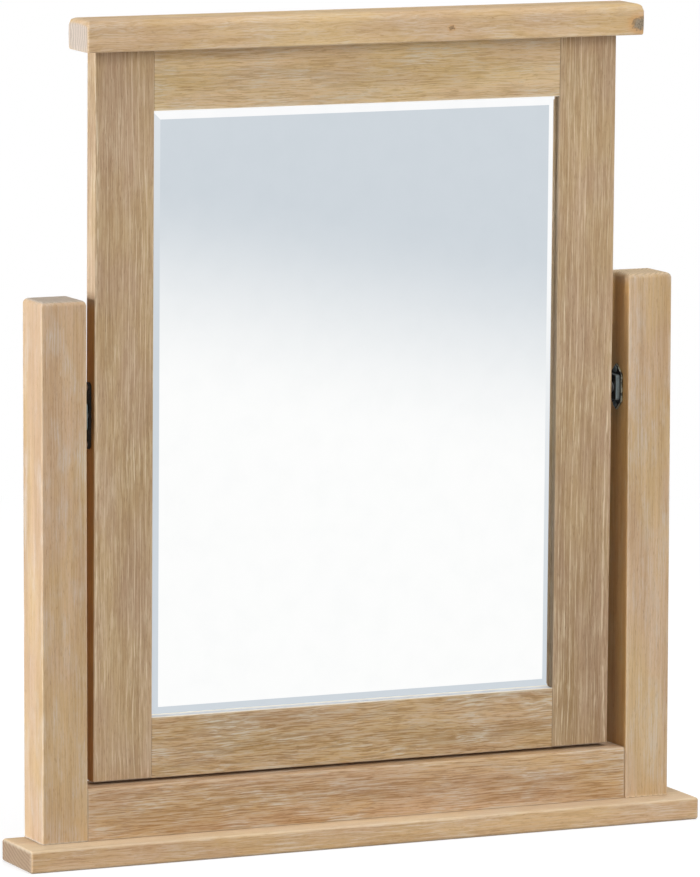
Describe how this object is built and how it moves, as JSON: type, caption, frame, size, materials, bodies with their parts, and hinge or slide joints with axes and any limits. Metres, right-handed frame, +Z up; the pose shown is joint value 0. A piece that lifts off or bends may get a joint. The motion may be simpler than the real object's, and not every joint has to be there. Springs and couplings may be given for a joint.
{
  "type": "swing dressing table mirror",
  "caption": "Free-standing dressing table mirror: a bevelled glass in an oak frame with a cap moulding, swinging on friction hinges between square posts on a flat base board.",
  "frame": {"origin": "middle of the base board's underside, which stands on the table", "axes": "+Z up, -Y the way the mirror faces, +X to the right of someone who looks into the mirror"},
  "size_m": [0.6, 0.064, 0.6837],
  "materials": {
    "limed_oak": "satin, with pale lime in the grain",
    "beech": "bare",
    "plywood": "bare",
    "grey_board": "bare pulp board",
    "silvered_glass": "polished, with a ground bevel",
    "blackened_bronze": "satin, dark bronze",
    "zinc_steel": "zinc plated"
  },
  "bodies": {
    "stand": {"base_board": "limed_oak", "left_post": "limed_oak", "right_post": "limed_oak", "lower_rail": "limed_oak", "rail_dowel_1": "beech", "rail_dowel_2": "beech", "rail_dowel_3": "beech", "rail_dowel_4": "beech", "base_screw_1": "zinc_steel", "base_screw_2": "zinc_steel", "base_screw_3": "zinc_steel", "base_screw_4": "zinc_steel", "base_screw_5": "zinc_steel", "base_screw_6": "zinc_steel", "left_post_plate": "blackened_bronze", "right_post_plate": "blackened_bronze", "left_post_screw_1": "blackened_bronze", "left_post_screw_2": "blackened_bronze", "right_post_screw_1": "blackened_bronze", "right_post_screw_2": "blackened_bronze", "left_friction_washer": "zinc_steel", "right_friction_washer": "zinc_steel"},
    "mirror_frame": {"left_stile": "limed_oak", "right_stile": "limed_oak", "top_rail": "limed_oak", "bottom_rail": "limed_oak", "top_cap": "limed_oak", "cap_dowel_1": "beech", "cap_dowel_2": "beech", "cap_dowel_3": "beech", "cap_dowel_4": "beech", "mirror_glass": "silvered_glass", "backing_sheet": "grey_board", "back_panel": "plywood", "panel_screw_1": "zinc_steel", "panel_screw_2": "zinc_steel", "panel_screw_3": "zinc_steel", "panel_screw_4": "zinc_steel", "panel_screw_5": "zinc_steel", "panel_screw_6": "zinc_steel", "panel_screw_7": "zinc_steel", "panel_screw_8": "zinc_steel", "panel_screw_9": "zinc_steel", "panel_screw_10": "zinc_steel", "panel_screw_11": "zinc_steel", "panel_screw_12": "zinc_steel", "left_frame_plate": "blackened_bronze", "right_frame_plate": "blackened_bronze", "left_stile_screw_1": "blackened_bronze", "left_stile_screw_2": "blackened_bronze", "right_stile_screw_1": "blackened_bronze", "right_stile_screw_2": "blackened_bronze", "left_pivot_stud": "zinc_steel", "right_pivot_stud": "zinc_steel", "left_stud_nut": "zinc_steel", "right_stud_nut": "zinc_steel"}
  },
  "joints": [
    {"name": "mirror_tilt", "type": "hinge", "parent": "stand", "child": "mirror_frame", "pos_m": [0, 0.0095, 0.3629], "axis": [1, 0, 0], "range_deg": [-165, 165]}
  ]
}
